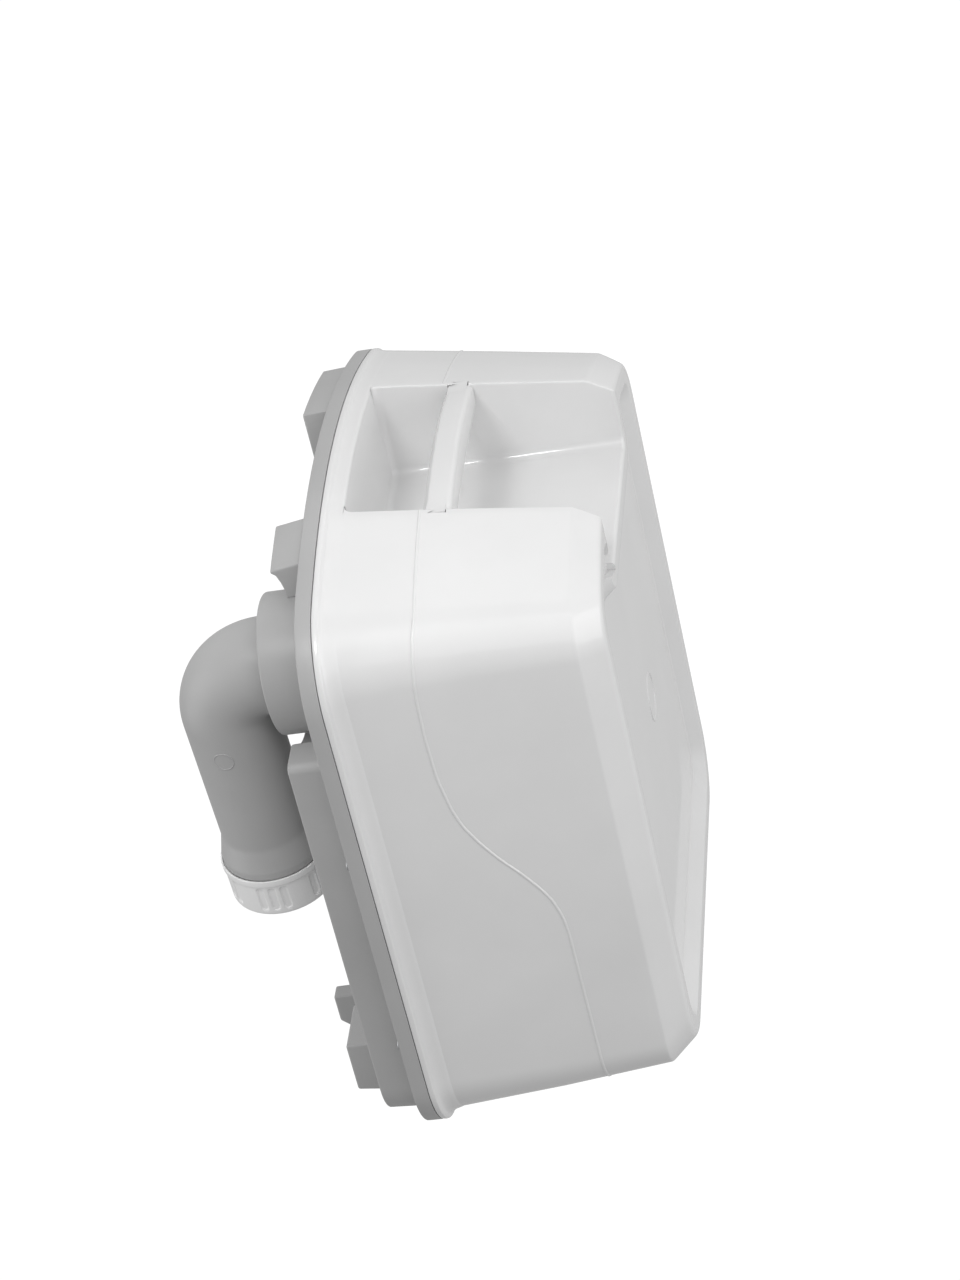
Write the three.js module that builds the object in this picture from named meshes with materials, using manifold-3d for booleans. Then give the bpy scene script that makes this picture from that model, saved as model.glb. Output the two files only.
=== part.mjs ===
import * as THREE from 'three';
import { mergeVertices } from 'three/addons/utils/BufferGeometryUtils.js';
import Module from 'manifold-3d';

const wasm = await Module();
wasm.setup();

// Units are millimetres. +Z is up, the base rim stands on z = 0, and the hand recess faces -Y.
// Driving dimensions
const GAP = 0.3;
const FLANGE = { half: 194, front: -204, bow: 517, frontR: 58, back: 204, backR: 50 };
const LIP_BOTTOM = 158.5;
const LIP_TOP = 163.5;
const LEDGE_TOP = 173.6;
const PLATEAU_TOP = 197.4;
const WALL = 3;
const DECK_INSIDE = PLATEAU_TOP - WALL;
const BODY_LEVELS = [
  { z: 0, half: 153.5, front: -174.5, bow: 464, frontR: 33, back: 184.5, backR: 38 },
  { z: 16, half: 167, front: -184.8, bow: 420, frontR: 34, back: 190, backR: 32 },
  { z: 85, half: 176.5, front: -193.5, bow: 465, frontR: 40, back: 195, backR: 37 },
  { z: 150, half: 186, front: -200.6, bow: 517, frontR: 46, back: 198.5, backR: 44 },
  { z: LIP_BOTTOM, half: 190, front: -202.4, bow: 517, frontR: 52, back: 201, backR: 47 },
];
const CAVITY_FLOOR = 12.5;
const RECESS = { half: 75, inner: -130, top: 150, cornerR: 18 };
const PANEL_DEPTH = 9;
const BASE_POCKET = [[-78, -152], [-75, -141], [-66, -130], [-66, -125], [-101, -138.5], [-110, -149], [-92, -156]];
const HANDLE = { low: 87, high: 105, front: -193.4, back: -174 };
const PLATEAU = { half: 179, front: -92, back: 194 };
const SPOUT = { x: -119, y: -123.4, bendR: 31, bendZ: 209.3, bore: 25, rootR: 29.5, pipeR: 28.8, endY: 40 };
const SPOUT_REST_DEG = -5;
const COLLAR_R = 43;
const PORT = { x: 0, y: 50, bore: 42 };
const BLADE = { half: 52, front: -6, back: 195.2, low: 184.5, high: 187 };
const VENT = { x: 0, y: -136 };
const FLOAT = { x: 110, y: 0, pivotZ: 176 };
const DECK_SCREWS = [[-30, -168], [30, -168], [-186.5, -20], [186.5, -20], [-186.5, 120], [186.5, 120]];
const RETAINER_SCREW_R = 56;

// Materials
const material = (name, color, roughness, metalness = 0, opacity = 1) =>
  new THREE.MeshStandardMaterial({ name, color, roughness, metalness, opacity, transparent: opacity < 1 });
const MATERIALS = {
  tank_white: () => material('tank_white', 0xeeeeec, 0.35),
  deck_grey: () => material('deck_grey', 0xa6a6a6, 0.5),
  cap_white: () => material('cap_white', 0xeaeaea, 0.4),
  inner_grey: () => material('inner_grey', 0x8b8b8b, 0.6),
  seal_rubber: () => material('seal_rubber', 0x2a2a2b, 0.8),
  steel: () => material('steel', 0xb9bcc0, 0.35, 1),
  float_foam: () => material('float_foam', 0xd8b35a, 0.7),
  indicator: () => material('indicator', 0xc23a2c, 0.5),
  window_clear: () => material('window_clear', 0xdfe8ea, 0.1, 0, 0.35),
};

const group = new THREE.Group();
group.name = 'waste_tank';

function solid(geometry) {
  const g = geometry.clone();
  g.deleteAttribute('normal');
  g.deleteAttribute('uv');
  const merged = mergeVertices(g, 1e-4);
  const vertProperties = new Float32Array(merged.attributes.position.array);
  const triVerts = new Uint32Array(merged.index.array);
  return new wasm.Manifold(new wasm.Mesh({ numProp: 3, vertProperties, triVerts }));
}

function add(name, body, slot) {
  const data = body.getMesh();
  const geometry = new THREE.BufferGeometry();
  geometry.setAttribute('position', new THREE.BufferAttribute(new Float32Array(data.vertProperties), 3));
  geometry.setIndex(new THREE.BufferAttribute(new Uint32Array(data.triVerts), 1));
  geometry.computeVertexNormals();
  const mesh = new THREE.Mesh(geometry, MATERIALS[slot]());
  mesh.name = name;
  group.add(mesh);
}

// A closed plan outline: bowed front, rounded corners, straight sides and back.
function outline({ half, front, bow, frontR, back, backR }, inset = 0) {
  const w = half - inset;
  const rf = Math.max(frontR - inset, 3);
  const rb = Math.max(backR - inset, 3);
  const radius = bow - inset;
  const yf = front + inset;
  const yb = back - inset;
  const a = Math.asin((w - rf) / (radius - rf));
  const cy = yf + radius - (radius - rf) * Math.cos(a);
  const points = [];
  for (let i = 0; i <= 8; i += 1) {
    const t = a * (i / 4 - 1);
    points.push([radius * Math.sin(t), yf + radius - radius * Math.cos(t)]);
  }
  const arc = (x, y, r, from, to, start) => {
    for (let i = start; i <= 6; i += 1) {
      const t = from + (to - from) * (i / 6);
      points.push([x + r * Math.cos(t), y + r * Math.sin(t)]);
    }
  };
  arc(w - rf, cy, rf, a - Math.PI / 2, 0, 1);
  arc(w - rb, yb - rb, rb, 0, Math.PI / 2, 0);
  arc(rb - w, yb - rb, rb, Math.PI / 2, Math.PI, 0);
  arc(rf - w, cy, rf, Math.PI, 1.5 * Math.PI - a, 0);
  points.pop();
  return points;
}

// A closed body through outlines that all have the same number of points.
function loft(levels) {
  const n = levels[0].points.length;
  const position = [];
  levels.forEach(({ z, points }) => points.forEach(([x, y]) => position.push(x, y, z)));
  const index = [];
  for (let k = 0; k < levels.length - 1; k += 1) {
    for (let i = 0; i < n; i += 1) {
      const j = (i + 1) % n;
      const a = k * n + i;
      const b = k * n + j;
      index.push(a, b, b + n, a, b + n, a + n);
    }
  }
  const cap = (level) => {
    const flat = levels[level].points.map(([x, y]) => new THREE.Vector2(x, y));
    return THREE.ShapeUtils.triangulateShape(flat, []);
  };
  cap(0).forEach(([a, b, c]) => index.push(a, c, b));
  const top = (levels.length - 1) * n;
  cap(levels.length - 1).forEach(([a, b, c]) => index.push(top + a, top + b, top + c));
  const geometry = new THREE.BufferGeometry();
  geometry.setAttribute('position', new THREE.Float32BufferAttribute(position, 3));
  geometry.setIndex(index);
  return solid(geometry);
}

function box(x0, x1, y0, y1, z0, z1) {
  const geometry = new THREE.BoxGeometry(x1 - x0, y1 - y0, z1 - z0);
  geometry.translate((x0 + x1) / 2, (y0 + y1) / 2, (z0 + z1) / 2);
  return solid(geometry);
}

// A body of revolution about a vertical axis from [radius, z] pairs.
function turned(profile, x, y, segments = 40) {
  const geometry = new THREE.LatheGeometry(profile.map(([r, z]) => new THREE.Vector2(r, z)), segments);
  geometry.rotateX(Math.PI / 2);
  geometry.translate(x, y, 0);
  return solid(geometry);
}

function rod(r, z0, z1, x, y, segments = 32) {
  return turned([[0, z0], [r, z0], [r, z1], [0, z1]], x, y, segments);
}

function ring(inner, outer, z0, z1, x, y, segments = 40) {
  return turned([[inner, z0], [outer, z0], [outer, z1], [inner, z1], [inner, z0]], x, y, segments);
}

// A plate with a given outline in the Y-Z plane, running from x0 to x1.
function profileYZ(pairs, x0, x1) {
  const shape = new THREE.Shape(pairs.map(([y, z]) => new THREE.Vector2(y, z)));
  const geometry = new THREE.ExtrudeGeometry(shape, { depth: x1 - x0, bevelEnabled: false });
  geometry.applyMatrix4(new THREE.Matrix4().set(0, 0, 1, x0, 1, 0, 0, 0, 0, 1, 0, 0, 0, 0, 0, 1));
  return solid(geometry);
}

// A prism between two heights from a list of plan points.
function prism(points, z0, z1) {
  return loft([{ z: z0, points }, { z: z1, points }]);
}

// A round bar swept along points, with its own radius at each point; all points lie in one Y-Z plane.
function sweep(stations, segments = 32) {
  const position = [];
  stations.forEach(({ y, z, angle, r }) => {
    for (let i = 0; i < segments; i += 1) {
      const t = (2 * Math.PI * i) / segments;
      const side = r * Math.cos(t);
      const up = r * Math.sin(t);
      position.push(SPOUT.x + side, y + up * Math.cos(angle), z - up * Math.sin(angle));
    }
  });
  const last = stations.length - 1;
  position.push(SPOUT.x, stations[0].y, stations[0].z);
  position.push(SPOUT.x, stations[last].y, stations[last].z);
  const start = stations.length * segments;
  const index = [];
  for (let i = 0; i < segments; i += 1) {
    const j = (i + 1) % segments;
    for (let k = 0; k < last; k += 1) {
      const a = k * segments + i;
      const b = k * segments + j;
      index.push(a, b, b + segments, a, b + segments, a + segments);
    }
    index.push(start, j, i, start + 1, last * segments + i, last * segments + j);
  }
  const geometry = new THREE.BufferGeometry();
  geometry.setAttribute('position', new THREE.Float32BufferAttribute(position, 3));
  geometry.setIndex(index);
  return solid(geometry);
}

function levelPoints(z, inset) {
  const upper = BODY_LEVELS.findIndex((level) => level.z >= z);
  const b = BODY_LEVELS[Math.max(upper, 1)];
  const a = BODY_LEVELS[Math.max(upper, 1) - 1];
  const t = (z - a.z) / (b.z - a.z);
  const mixed = {};
  Object.keys(a).forEach((key) => { mixed[key] = a[key] + (b[key] - a[key]) * t; });
  return outline(mixed, inset);
}

// The hand recess, grown by a margin on every closed side.
function recessBody(margin, top) {
  const { half, inner, cornerR } = RECESS;
  const r = cornerR + margin;
  const w = half + margin;
  const y = inner + margin;
  const points = [[-w, -260], [w, -260]];
  for (let i = 0; i <= 6; i += 1) {
    const t = (Math.PI / 2) * (i / 6);
    points.push([w - r + r * Math.cos(t), y - r + r * Math.sin(t)]);
  }
  for (let i = 0; i <= 6; i += 1) {
    const t = (Math.PI / 2) * (1 + i / 6);
    points.push([r - w + r * Math.cos(t), y - r + r * Math.sin(t)]);
  }
  return prism(points, -5, top);
}

function tankShell() {
  const levels = BODY_LEVELS.map((level) => ({ z: level.z, points: outline(level) }));
  levels.push({ z: 160, points: outline(FLANGE) });
  levels.push({ z: LIP_TOP, points: outline(FLANGE) });
  const cavityLevels = [CAVITY_FLOOR, 16, 85, 150, LIP_BOTTOM].map((z) => ({ z, points: levelPoints(z, 3.5) }));
  const cavity = loft(cavityLevels)
    .subtract(recessBody(3.5, 200))
    .subtract(box(-82, 82, -260, RECESS.inner - 20, -5, 200));
  const panel = loft([
    { z: -1, points: levelPoints(0, 11) },
    { z: 0, points: levelPoints(0, 12) },
    { z: PANEL_DEPTH, points: levelPoints(0, 20) },
  ]).subtract(recessBody(13, 30));
  const sockets = box(-79, 79, -188.6, -178.4, 89.4, 102.6);
  const slot = box(FLOAT.x - 3.5, FLOAT.x + 3.5, -8, 44, 150, 170);
  let body = loft(levels)
    .subtract(cavity)
    .subtract(recessBody(0, RECESS.top))
    .subtract(panel)
    .subtract(sockets)
    .subtract(slot)
    .subtract(rod(47, 150, 170, PORT.x, PORT.y, 48))
    .subtract(rod(24, 150, 170, SPOUT.x, SPOUT.y))
    .subtract(prism(BASE_POCKET, -1, 5));
  DECK_SCREWS.forEach(([x, y]) => {
    body = body.subtract(rod(2.1, LIP_TOP - 4.2, 170, x, y, 12));
  });
  return body;
}

function carryHandle() {
  const w = RECESS.half - GAP;
  const points = [];
  for (let i = 0; i <= 12; i += 1) {
    const x = -w + (2 * w * i) / 12;
    points.push([x, HANDLE.front + (x * x) / 860]);
  }
  points.push([w, HANDLE.back], [-w, HANDLE.back]);
  return prism(points, HANDLE.low, HANDLE.high).add(box(-78.6, 78.6, -188, -179, 90, 102));
}

// A raised pad behind the bowed front edge of the deck, its front leaning back by lean at the top.
function frontPad(x0, x1, top, lean, profile) {
  const plan = (setback) => {
    const points = [];
    for (let i = 0; i <= 8; i += 1) {
      const x = x0 + ((x1 - x0) * i) / 8;
      points.push([x, FLANGE.front + FLANGE.bow - Math.sqrt(FLANGE.bow ** 2 - x * x) + setback]);
    }
    points.push([x1, -140], [x0, -140]);
    return points;
  };
  return loft([
    { z: LEDGE_TOP - 2.1, points: plan(1.6) },
    { z: top, points: plan(1.6 + lean) },
  ]).intersect(profileYZ(profile, x0 - 1, x1 + 1));
}

function rearLug(x) {
  return profileYZ([[150, 195.5], [151, 221], [184, 221], [189, 195.5]], x - 21, x + 21);
}

function innerLug(x) {
  return profileYZ([[160, 195.5], [161, 239], [181, 239], [187, 232], [188, 195.5]], x - 6, x + 6);
}

function topDeck() {
  const plateau = { ...PLATEAU, bow: 4000, frontR: 16, backR: 30 };
  const notch = (margin) => rod(50 + margin, LEDGE_TOP - 8, 210, SPOUT.x, SPOUT.y, 48);
  const upper = loft([
    { z: LEDGE_TOP - 1, points: outline(plateau, -1.5) },
    { z: PLATEAU_TOP - 1, points: outline(plateau) },
    { z: PLATEAU_TOP, points: outline(plateau, 0.8) },
  ]).subtract(rod(50, LEDGE_TOP, 210, SPOUT.x, SPOUT.y, 48));
  const hollowUpper = loft([
    { z: LIP_TOP, points: outline(plateau, WALL) },
    { z: DECK_INSIDE, points: outline(plateau, WALL + 1) },
  ]).subtract(notch(WALL));
  const skirt = loft([
    { z: LIP_TOP + GAP, points: outline(FLANGE) },
    { z: LEDGE_TOP - 1.5, points: outline(FLANGE) },
    { z: LEDGE_TOP, points: outline(FLANGE, 1.5) },
  ]);
  const hollowLower = loft([
    { z: LIP_TOP, points: outline(FLANGE, 4) },
    { z: LEDGE_TOP - WALL, points: outline(FLANGE, 4) },
  ]);
  let body = skirt.add(upper).subtract(hollowLower).subtract(hollowUpper);
  const farEdge = [[-210, 171], [-210, 190], [-158, 190], [-150, 186], [-146, 171]];
  const nearEdge = [[-210, 171], [-210, 192], [-184, 192], [-182, 189.4], [-177, 187.6], [-171, 186.3], [-141, 185], [-141, 171]];
  body = body.add(frontPad(43, 123, 190, 1.2, farEdge)).add(frontPad(-117, -78, 192, 3.4, nearEdge));
  body = body.subtract(rod(COLLAR_R + GAP, LEDGE_TOP, 210, SPOUT.x, SPOUT.y, 48));
  [-125, 125].forEach((x) => { body = body.add(rearLug(x)); });
  [-76, 76].forEach((x) => { body = body.add(innerLug(x)); });
  DECK_SCREWS.forEach(([x, y]) => {
    body = body.subtract(rod(2.3, 160, 180, x, y, 12));
  });
  for (let i = 0; i < 4; i += 1) {
    const t = (Math.PI / 2) * (i + 0.5);
    const x = PORT.x + RETAINER_SCREW_R * Math.cos(t);
    body = body.subtract(rod(2.3, 190, 210, x, PORT.y + RETAINER_SCREW_R * Math.sin(t), 12));
  }
  return body
    .subtract(rod(50.5, 190, 210, PORT.x, PORT.y, 48))
    .subtract(rod(24, 165, 180, SPOUT.x, SPOUT.y))
    .subtract(rod(4.4, 165, 180, VENT.x, VENT.y, 20))
    .subtract(rod(12, 190, 210, FLOAT.x, FLOAT.y))
    .subtract(box(-BLADE.half - 1, BLADE.half + 1, 185, 210, 183, 188.5));
}

function deckGasket() {
  const outer = prism(outline(FLANGE, 12.5), LIP_TOP + GAP, LEDGE_TOP - WALL - GAP);
  return outer.subtract(prism(outline(FLANGE, 16.5), LIP_TOP - 1, LEDGE_TOP));
}

function valveBody() {
  let body = box(-60, 60, -10, 184, 176, 180.2);
  body = body.add(ring(PORT.bore, 46, 148, 184.2, PORT.x, PORT.y, 48));
  [-52, 52].forEach((x) => {
    [0, 172].forEach((y) => { body = body.add(rod(5, LIP_TOP + GAP, 177, x, y, 16)); });
  });
  return body.subtract(rod(PORT.bore, 140, 190, PORT.x, PORT.y, 48));
}

function bladeGuide(side) {
  const x = (near, far) => (side > 0 ? [near, far] : [-far, -near]);
  const rail = box(...x(49, 60), -5, 185, 180.5, 190.5);
  const groove = box(...x(40, BLADE.half + 0.6), -10, 190, BLADE.low - GAP, BLADE.high + GAP);
  return rail.subtract(groove).subtract(rod(50.4, 186, 195, PORT.x, PORT.y, 48));
}

function bladePlate() {
  const r = 14;
  const points = [];
  for (let i = 0; i <= 6; i += 1) {
    const t = Math.PI * (1 + i / 12);
    points.push([r - BLADE.half + r * Math.cos(t), BLADE.front + r + r * Math.sin(t)]);
  }
  for (let i = 0; i <= 6; i += 1) {
    const t = Math.PI * (1.5 + i / 12);
    points.push([BLADE.half - r + r * Math.cos(t), BLADE.front + r + r * Math.sin(t)]);
  }
  points.push([BLADE.half, BLADE.back], [-BLADE.half, BLADE.back]);
  return prism(points, BLADE.low, BLADE.high);
}

function bladeHandle() {
  const grip = profileYZ([[195.5, 177], [200, 177], [203.6, 180.5], [203.6, 190], [200, 193.5], [195.5, 193.5]], -34, 34);
  return grip.subtract(box(-26, 26, 199.6, 210, 181.5, 189));
}

function portSeal() {
  const profile = [[43, 187.3], [47, 187.3], [49.8, 190], [49.8, 203], [49.3, 203.5], [45.3, 203.5], [43, 200], [43, 187.3]];
  return turned(profile, PORT.x, PORT.y, 48);
}

function sealRetainer() {
  let body = ring(50.2, 61, PLATEAU_TOP + GAP, 200.3, PORT.x, PORT.y, 48);
  for (let i = 0; i < 4; i += 1) {
    const t = (Math.PI / 2) * (i + 0.5);
    const x = PORT.x + RETAINER_SCREW_R * Math.cos(t);
    body = body.subtract(rod(2.3, 190, 210, x, PORT.y + RETAINER_SCREW_R * Math.sin(t), 12));
  }
  return body;
}

// A pan-head screw whose head sits on the given height.
function screw(x, y, seat, length, headR) {
  const profile = [[0, seat - length], [1.8, seat - length], [1.8, seat], [headR, seat], [headR, seat + 1.2], [headR - 1, seat + 2.2], [0, seat + 2.4]];
  return turned(profile, x, y, 16);
}

function spoutCollar() {
  const base = LEDGE_TOP + GAP;
  const profile = [[36.6, base], [COLLAR_R, base], [COLLAR_R, 201.4], [41.4, 203.4], [39, 203.4], [36, 202], [30.5, 201]];
  profile.push([30.5, 183.2], [36.6, 183.2], [36.6, base]);
  return turned(profile, SPOUT.x, SPOUT.y, 48);
}

function spoutElbow() {
  const stations = [{ y: SPOUT.y, z: 178, angle: 0, r: SPOUT.rootR }];
  const bend = 10;
  for (let i = 0; i <= bend; i += 1) {
    const t = (Math.PI / 2) * (i / bend);
    const r = SPOUT.rootR + (SPOUT.pipeR - SPOUT.rootR) * Math.min(1, (i / bend) * 1.4);
    const y = SPOUT.y + SPOUT.bendR * (1 - Math.cos(t));
    stations.push({ y, z: SPOUT.bendZ + SPOUT.bendR * Math.sin(t), angle: t, r });
  }
  const axisZ = SPOUT.bendZ + SPOUT.bendR;
  stations.push({ y: SPOUT.endY, z: axisZ, angle: Math.PI / 2, r: SPOUT.pipeR });
  const inner = stations.map((s) => ({ ...s, r: SPOUT.bore }));
  inner[0] = { ...inner[0], z: 170 };
  inner[inner.length - 1] = { ...inner[inner.length - 1], y: SPOUT.endY + 5 };
  const cuff = sweep([
    { y: 3, z: axisZ, angle: Math.PI / 2, r: 28.5 },
    { y: 8, z: axisZ, angle: Math.PI / 2, r: 32.8 },
    { y: 18, z: axisZ, angle: Math.PI / 2, r: 32.8 },
  ]);
  const elbow = sweep(stations)
    .add(cuff)
    .add(rod(36, 175, 178.5, SPOUT.x, SPOUT.y, 40))
    .subtract(sweep(inner));
  return swivelled(elbow);
}

// Turns a body built along +Y to the spout's rest direction about the swivel axis.
function swivelled(body) {
  return body
    .translate([-SPOUT.x, -SPOUT.y, 0])
    .rotate([0, 0, SPOUT_REST_DEG])
    .translate([SPOUT.x, SPOUT.y, 0]);
}

function spoutRound(profile) {
  const geometry = new THREE.LatheGeometry(profile.map(([r, y]) => new THREE.Vector2(r, y)), 48);
  geometry.translate(SPOUT.x, 0, SPOUT.bendZ + SPOUT.bendR);
  return swivelled(solid(geometry));
}

function spoutCap() {
  const profile = [[30, 18.4], [33.2, 18.4], [33.8, 19.4], [33.8, 42], [32.5, 44.5], [29.5, 45.5], [0, 45.5], [0, 42], [30, 42], [30, 18.4]];
  return spoutRound(profile);
}

function ventSpring() {
  const turns = 4;
  const steps = turns * 12;
  const points = [];
  for (let i = 0; i <= steps; i += 1) {
    const t = (2 * Math.PI * turns * i) / steps;
    points.push(new THREE.Vector3(6.5 * Math.cos(t), 6.5 * Math.sin(t), (8 * i) / steps));
  }
  const shape = new THREE.Shape();
  shape.absarc(0, 0, 0.5, 0, 2 * Math.PI, false);
  const path = new THREE.CatmullRomCurve3(points);
  const geometry = new THREE.ExtrudeGeometry(shape, { steps, curveSegments: 6, extrudePath: path });
  geometry.translate(VENT.x, VENT.y, 174.8);
  return solid(geometry);
}

function ventButton() {
  const profile = [[0, 167.9], [1.9, 167.9], [1.9, 183.8], [9.6, 183.8], [9.6, 180], [11.4, 180], [11.4, 187], [10, 188.4], [0, 188.8]];
  return turned(profile, VENT.x, VENT.y, 32);
}

function floatBracket() {
  const { x, pivotZ } = FLOAT;
  let body = box(x - 12, x + 12, -14, 50, LIP_TOP + GAP, 166.5);
  [[x - 7, x - 3.6], [x + 3.6, x + 7]].forEach(([x0, x1]) => {
    body = body.add(box(x0, x1, -5, 5, 165, pivotZ + 5));
  });
  return body
    .subtract(box(x - 3.5, x + 3.5, -8, 44, 160, 170))
    .subtract(crossRod(1.56, x - 20, x + 20, 0, pivotZ));
}

function crossRod(r, x0, x1, y, z) {
  const geometry = new THREE.CylinderGeometry(r, r, x1 - x0, 24);
  geometry.rotateZ(Math.PI / 2);
  geometry.translate((x0 + x1) / 2, y, z);
  return solid(geometry);
}

function floatArm() {
  const { x, y, pivotZ } = FLOAT;
  return box(x - 2, x + 2, y - 3, y + 3, 100.3, 188)
    .add(crossRod(5, x - 2.6, x + 2.6, y, pivotZ))
    .add(box(x - 9, x + 9, y - 6, y + 6, 187, 190))
    .subtract(crossRod(1.56, x - 20, x + 20, y, pivotZ));
}

add('tank_shell', tankShell(), 'tank_white');
add('carry_handle', carryHandle(), 'tank_white');
add('top_deck', topDeck(), 'deck_grey');
add('deck_gasket', deckGasket(), 'seal_rubber');
add('valve_body', valveBody(), 'inner_grey');
add('blade_guide_left', bladeGuide(-1), 'inner_grey');
add('blade_guide_right', bladeGuide(1), 'inner_grey');
add('valve_blade', bladePlate(), 'inner_grey');
add('blade_handle', bladeHandle(), 'deck_grey');
add('port_seal', portSeal(), 'seal_rubber');
add('seal_retainer', sealRetainer(), 'deck_grey');
for (let i = 0; i < 4; i += 1) {
  const t = (Math.PI / 2) * (i + 0.5);
  const x = PORT.x + RETAINER_SCREW_R * Math.cos(t);
  const y = PORT.y + RETAINER_SCREW_R * Math.sin(t);
  add(`retainer_screw_${i + 1}`, screw(x, y, 200.6, 9, 3.4), 'steel');
}
DECK_SCREWS.forEach(([x, y], i) => add(`deck_screw_${i + 1}`, screw(x, y, LEDGE_TOP + GAP, 14, 4), 'steel'));
add('spout_collar', spoutCollar(), 'deck_grey');
add('spout_washer', ring(25, 35.5, LEDGE_TOP + GAP, 174.7, SPOUT.x, SPOUT.y), 'inner_grey');
add('spout_o_ring', ring(30.4, 36, 179, 182.8, SPOUT.x, SPOUT.y), 'seal_rubber');
add('spout_elbow', spoutElbow(), 'deck_grey');
add('spout_cap', spoutCap(), 'cap_white');
add('cap_gasket', spoutRound([[0, 40.3], [29.6, 40.3], [29.6, 41.7], [0, 41.7]]), 'seal_rubber');
add('vent_housing', ring(12, 15, LEDGE_TOP + GAP, 184, VENT.x, VENT.y), 'deck_grey');
add('vent_button', ventButton(), 'deck_grey');
add('vent_spring', ventSpring(), 'steel');
add('vent_seal', ring(2.2, 8.5, 167.9, 170.3, VENT.x, VENT.y), 'seal_rubber');
add('float_bracket', floatBracket(), 'inner_grey');
add('float_pin', crossRod(1.5, FLOAT.x - 8.5, FLOAT.x + 8.5, FLOAT.y, FLOAT.pivotZ), 'steel');
add('float_arm', floatArm(), 'indicator');
add('level_float', turned([[0, 72], [8, 73], [13, 78], [14, 84], [14, 90], [13, 96], [8, 100], [0, 100]], FLOAT.x, FLOAT.y), 'float_foam');
add('indicator_window', turned([[0, 194.8], [11.6, 194.8], [11.6, 197.7], [14, 197.7], [14, 198.5], [0, 199]], FLOAT.x, FLOAT.y), 'window_clear');

export default group;
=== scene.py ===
import math

import bmesh
import bpy
from mathutils import Matrix, Vector


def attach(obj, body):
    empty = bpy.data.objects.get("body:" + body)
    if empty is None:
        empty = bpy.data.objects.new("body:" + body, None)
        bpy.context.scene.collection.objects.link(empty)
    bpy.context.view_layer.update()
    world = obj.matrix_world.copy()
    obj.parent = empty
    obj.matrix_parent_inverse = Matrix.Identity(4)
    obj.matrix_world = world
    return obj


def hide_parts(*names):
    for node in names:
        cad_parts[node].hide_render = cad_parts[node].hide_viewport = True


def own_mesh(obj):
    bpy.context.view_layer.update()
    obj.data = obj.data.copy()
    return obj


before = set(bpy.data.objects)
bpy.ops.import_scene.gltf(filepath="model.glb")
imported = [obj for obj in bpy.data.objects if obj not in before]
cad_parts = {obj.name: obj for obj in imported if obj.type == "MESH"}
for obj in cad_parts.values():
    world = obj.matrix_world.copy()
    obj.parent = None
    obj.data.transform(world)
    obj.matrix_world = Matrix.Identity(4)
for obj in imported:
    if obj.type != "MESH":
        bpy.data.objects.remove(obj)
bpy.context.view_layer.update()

MM = 0.001

# ---------------------------------------------------------------- materials


def plastic(name, tint, rough, grain=900.0, bump=0.06, speck=0.015, metallic=0.0, alpha=1.0, coat=0.0):
    """A moulded surface: slight blotches in tint and gloss and a fine grain, all in object space."""
    mat = bpy.data.materials.new(name)
    mat.use_nodes = True
    tree = mat.node_tree
    shader = tree.nodes["Principled BSDF"]
    coords = tree.nodes.new("ShaderNodeTexCoord")
    blotch = tree.nodes.new("ShaderNodeTexNoise")
    blotch.inputs["Scale"].default_value = 14.0
    blotch.inputs["Detail"].default_value = 5.0
    fine = tree.nodes.new("ShaderNodeTexNoise")
    fine.inputs["Scale"].default_value = grain
    fine.inputs["Detail"].default_value = 2.0
    for node in (blotch, fine):
        tree.links.new(coords.outputs["Object"], node.inputs["Vector"])
    colour = tree.nodes.new("ShaderNodeValToRGB")
    low = [max(c - speck, 0.0) for c in tint]
    high = [min(c + speck, 1.0) for c in tint]
    colour.color_ramp.elements[0].position = 0.35
    colour.color_ramp.elements[0].color = (*low, 1.0)
    colour.color_ramp.elements[1].position = 0.65
    colour.color_ramp.elements[1].color = (*high, 1.0)
    tree.links.new(blotch.outputs["Fac"], colour.inputs["Fac"])
    tree.links.new(colour.outputs["Color"], shader.inputs["Base Color"])
    gloss = tree.nodes.new("ShaderNodeMapRange")
    gloss.inputs["To Min"].default_value = max(rough - 0.05, 0.02)
    gloss.inputs["To Max"].default_value = min(rough + 0.05, 1.0)
    tree.links.new(fine.outputs["Fac"], gloss.inputs["Value"])
    tree.links.new(gloss.outputs["Result"], shader.inputs["Roughness"])
    relief = tree.nodes.new("ShaderNodeBump")
    relief.inputs["Strength"].default_value = bump
    relief.inputs["Distance"].default_value = 0.0004
    tree.links.new(fine.outputs["Fac"], relief.inputs["Height"])
    tree.links.new(relief.outputs["Normal"], shader.inputs["Normal"])
    shader.inputs["Metallic"].default_value = metallic
    shader.inputs["Alpha"].default_value = alpha
    shader.inputs["Coat Weight"].default_value = coat
    shader.inputs["Coat Roughness"].default_value = 0.05
    return mat


MATERIALS = {
    "tank_white": plastic("tank_white", (0.80, 0.80, 0.80), 0.32, bump=0.02, coat=0.9),
    "deck_grey": plastic("deck_grey", (0.455, 0.455, 0.455), 0.42, bump=0.1),
    # The cap's tint is brighter than the tank's white to paint in light: it makes up for the shade that the
    # plateau and tank cast on the cap.
    "cap_white": plastic("cap_white", (0.92, 0.92, 0.92), 0.42),
    "inner_grey": plastic("inner_grey", (0.24, 0.24, 0.25), 0.55, bump=0.1),
    "seal_rubber": plastic("seal_rubber", (0.02, 0.02, 0.021), 0.7, grain=1400.0, bump=0.15, speck=0.004),
    "steel": plastic("steel", (0.55, 0.56, 0.57), 0.3, grain=1800.0, bump=0.04, metallic=1.0),
    "float_foam": plastic("float_foam", (0.62, 0.44, 0.10), 0.75, grain=700.0, bump=0.3, speck=0.03),
    "indicator": plastic("indicator", (0.50, 0.045, 0.03), 0.45),
    "window_clear": plastic("window_clear", (0.75, 0.80, 0.82), 0.12, bump=0.02, alpha=0.45),
}
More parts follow.
